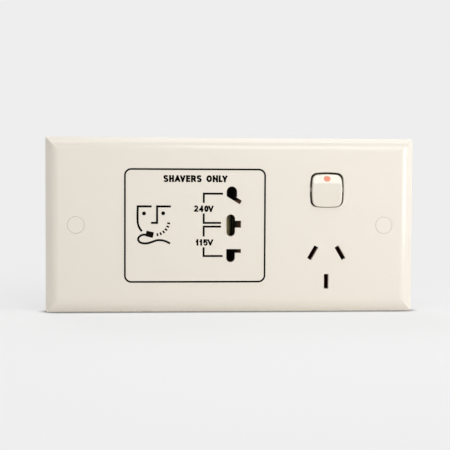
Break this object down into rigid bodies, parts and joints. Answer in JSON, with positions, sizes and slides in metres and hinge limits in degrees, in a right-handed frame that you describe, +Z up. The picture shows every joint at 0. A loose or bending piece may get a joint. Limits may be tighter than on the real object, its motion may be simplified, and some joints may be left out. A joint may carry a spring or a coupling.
{
  "type": "shaver socket",
  "caption": "Wide wall plate with a dual-voltage shaver outlet fed by an isolating transformer, beside a flat three-pin outlet switched by a rocker.",
  "frame": {"origin": "centre of the plate's back, on the wall's face, midway between the two wall screws", "axes": "+X to the right along the plate, +Z up, and the front faces -Y, away from the wall"},
  "size_m": [0.182, 0.0532, 0.086],
  "materials": {
    "plate_plastic": "glossy warm white moulded plastic",
    "rocker_plastic": "glossy warm white moulded plastic",
    "indicator_red": "orange red moulded plastic",
    "body_plastic": "dark grey moulded plastic",
    "case_plastic": "grey moulded plastic",
    "block_plastic": "dark brown moulded plastic",
    "bobbin_plastic": "black moulded plastic",
    "contact_bronze": "rolled phosphor bronze",
    "contact_nickel": "dull nickel plated bronze",
    "contact_silver": "silver contact face",
    "terminal_brass": "cut brass bar",
    "screw_steel": "zinc plated steel",
    "core_steel": "stacked silicon steel sheets",
    "winding_copper": "enamelled copper wire",
    "tape_yellow": "yellow insulating tape",
    "lead_red": "red PVC insulated lead",
    "lead_black": "black PVC insulated lead",
    "lead_white": "white PVC insulated lead"
  },
  "bodies": {
    "socket": {"face_plate": "plate_plastic", "outlet_body": "body_plastic", "outlet_cover": "body_plastic", "line_contact": "contact_bronze", "load_link": "contact_bronze", "load_contact_tip": "contact_silver", "active_contact": "contact_bronze", "neutral_contact": "contact_bronze", "earth_contact": "contact_bronze", "line_terminal": "terminal_brass", "neutral_terminal": "terminal_brass", "earth_terminal": "terminal_brass", "terminal_screws": "screw_steel", "cover_screws": "screw_steel", "mechanism_screws": "screw_steel", "shaver_contact_block": "block_plastic", "contact_240v": "contact_nickel", "contact_common": "contact_nickel", "contact_115v": "contact_nickel", "contact_block_screws": "screw_steel", "core_e_stack": "core_steel", "core_i_stack": "core_steel", "bobbin": "bobbin_plastic", "primary_winding": "winding_copper", "secondary_winding": "winding_copper", "primary_tape": "tape_yellow", "secondary_tape": "tape_yellow", "thermal_cutout": "bobbin_plastic", "core_screws": "screw_steel", "transformer_case": "case_plastic", "case_screws": "screw_steel", "line_lead": "lead_red", "neutral_lead": "lead_black", "lead_240v": "lead_white", "lead_common": "lead_white", "lead_115v": "lead_white"},
    "rocker": {"rocker": "rocker_plastic", "rocker_indicator": "indicator_red", "plunger_spring": "screw_steel"},
    "plunger": {"switch_plunger": "body_plastic"},
    "seesaw": {"moving_contact": "contact_bronze", "moving_contact_tip": "contact_silver"},
    "cap_left": {"screw_cap_left": "plate_plastic"},
    "cap_right": {"screw_cap_right": "plate_plastic"}
  },
  "joints": [
    {"name": "rocker_tilt", "type": "hinge", "parent": "socket", "child": "rocker", "pos_m": [0.0475, -0.005, 0.01755], "axis": [-1, 0, 0], "range_deg": [0, 10]},
    {"name": "plunger_slide", "type": "slide", "parent": "rocker", "child": "plunger", "axis": [0, -0.9962, -0.0872], "range_m": [0, 0.0006], "stiffness_N_per_m": 300, "springref_m": -0.003, "deforming": ["plunger_spring"]},
    {"name": "seesaw_tilt", "type": "hinge", "parent": "socket", "child": "seesaw", "pos_m": [0.0475, 0.008, 0.01755], "axis": [1, 0, 0], "range_deg": [0, 14]},
    {"name": "cap_left_pull", "type": "slide", "parent": "socket", "child": "cap_left", "axis": [0, -1, 0], "range_m": [0, 0.012]},
    {"name": "cap_right_pull", "type": "slide", "parent": "socket", "child": "cap_right", "axis": [0, -1, 0], "range_m": [0, 0.012]}
  ],
  "couplings": [
    {"joint": "seesaw_tilt", "follows": "rocker_tilt", "ratio": 1.4}
  ]
}
